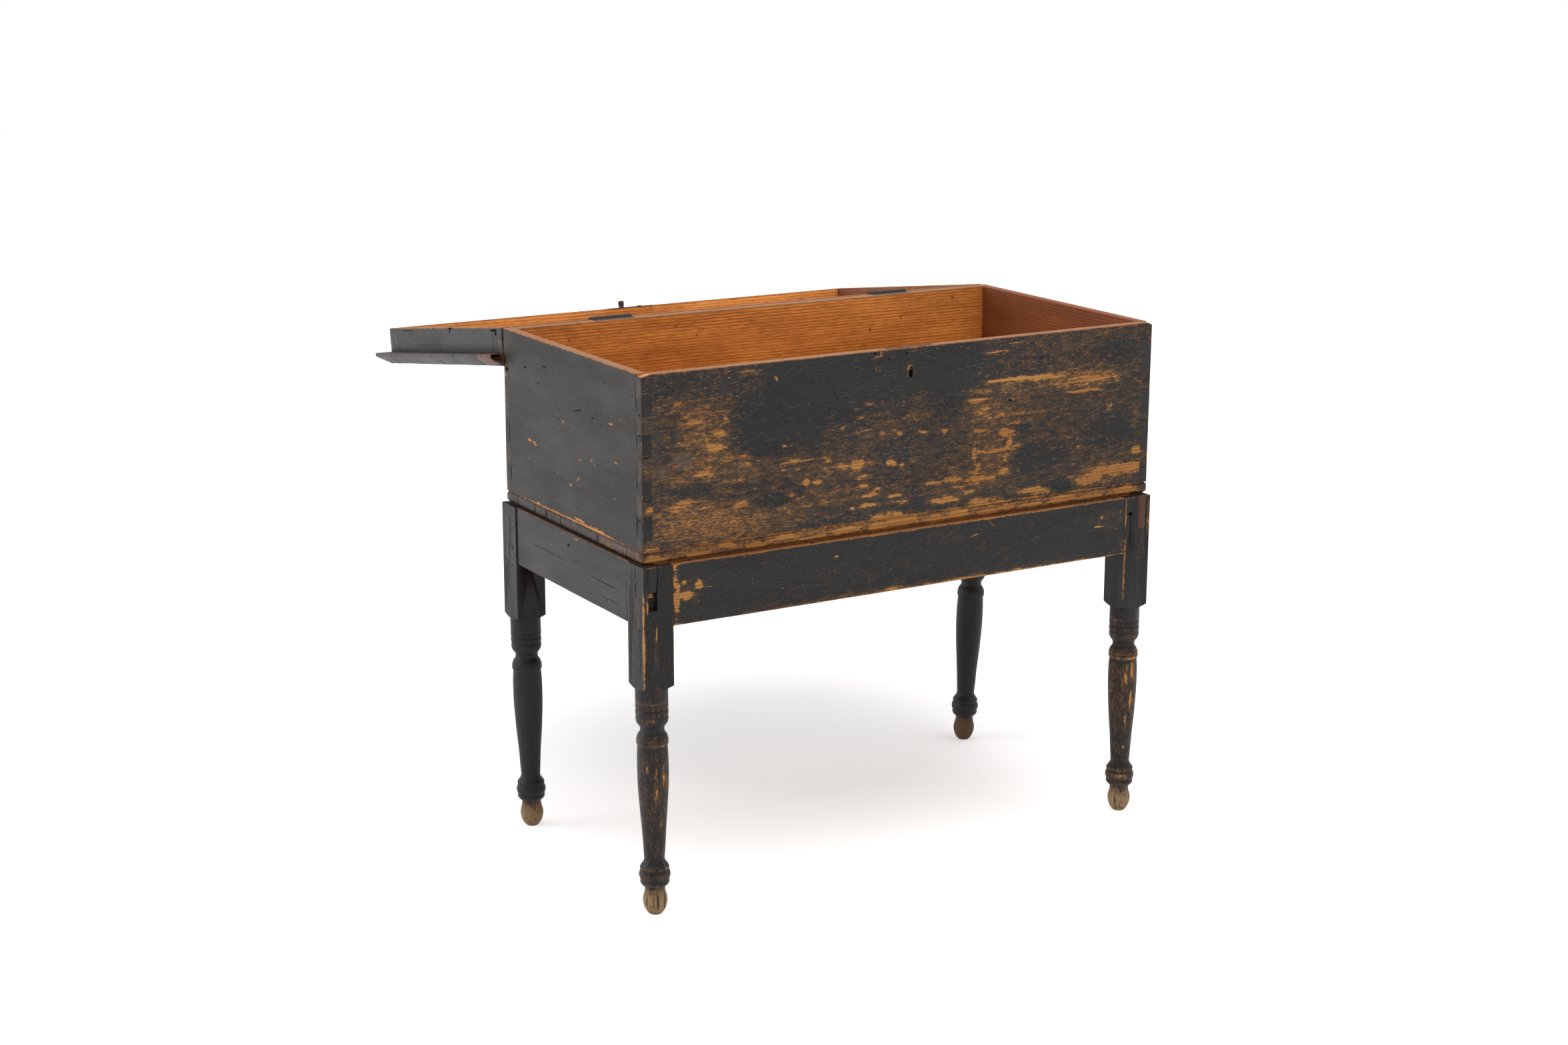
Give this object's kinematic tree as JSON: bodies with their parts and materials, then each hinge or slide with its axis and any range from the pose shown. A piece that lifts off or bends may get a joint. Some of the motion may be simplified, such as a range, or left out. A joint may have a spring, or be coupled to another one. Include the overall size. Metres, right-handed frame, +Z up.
{
  "type": "sugar chest",
  "caption": "Rectangular dovetailed wooden chest with a rail-framed lid lying open on butt hinges, standing loose on a separate stand with turned legs; keeps dry goods under lock.",
  "frame": {"origin": "on the floor, below the hinge axis, at the middle of the chest's length", "axes": "+Z up, -Y towards the front with the keyhole, +X to the right seen from the front"},
  "size_m": [0.994, 1.002, 0.8532],
  "materials": {
    "chest_paint": "old charcoal paint, worn through to the wood",
    "lid_paint": "old charcoal paint outside, varnished pine inside",
    "stand_paint": "old charcoal paint, worn edges and bare feet",
    "bottom_pine": "bare worn pine",
    "peg_wood": "painted pegs, end grain",
    "old_iron": "old dark iron"
  },
  "bodies": {
    "stand": {"stand_front_rail": "stand_paint", "stand_back_rail": "stand_paint", "stand_left_rail": "stand_paint", "stand_right_rail": "stand_paint", "leg_front_left": "stand_paint", "leg_front_right": "stand_paint", "leg_back_left": "stand_paint", "leg_back_right": "stand_paint", "stand_pegs": "peg_wood", "mortise_patch_front_right": "stand_paint"},
    "chest": {"chest_front": "chest_paint", "chest_back": "chest_paint", "chest_left_side": "chest_paint", "chest_right_side": "chest_paint", "bottom_board_1": "bottom_pine", "bottom_board_2": "bottom_pine", "bottom_board_3": "bottom_pine", "bottom_board_4": "bottom_pine", "lock_case": "old_iron", "lock_selvage": "old_iron", "lock_nails": "old_iron", "lock_key_pin": "old_iron", "lock_spring": "old_iron", "hinge_left_box_leaf": "old_iron", "hinge_right_box_leaf": "old_iron", "hinge_left_pin": "old_iron", "hinge_right_pin": "old_iron", "hinge_screws_box": "old_iron"},
    "lid": {"lid_top_board": "lid_paint", "lid_back_strip": "lid_paint", "lid_front_rail": "lid_paint", "lid_back_rail": "lid_paint", "lid_left_rail": "lid_paint", "lid_right_rail": "lid_paint", "hinge_left_lid_leaf": "old_iron", "hinge_right_lid_leaf": "old_iron", "hinge_screws_lid": "old_iron", "link_plate": "old_iron", "link_nails": "old_iron"},
    "bolt": {"lock_bolt": "old_iron"}
  },
  "joints": [
    {"name": "chest_lift", "type": "slide", "parent": "stand", "child": "chest", "axis": [0, 0, 1], "range_m": [0, 0.3]},
    {"name": "lid_hinge", "type": "hinge", "parent": "chest", "child": "lid", "pos_m": [0, 0, 0.8492], "axis": [1, 0, 0], "range_deg": [0, 188.5]},
    {"name": "lock_bolt_slide", "type": "slide", "parent": "chest", "child": "bolt", "axis": [-1, 0, 0], "range_m": [0, 0.0065]}
  ]
}
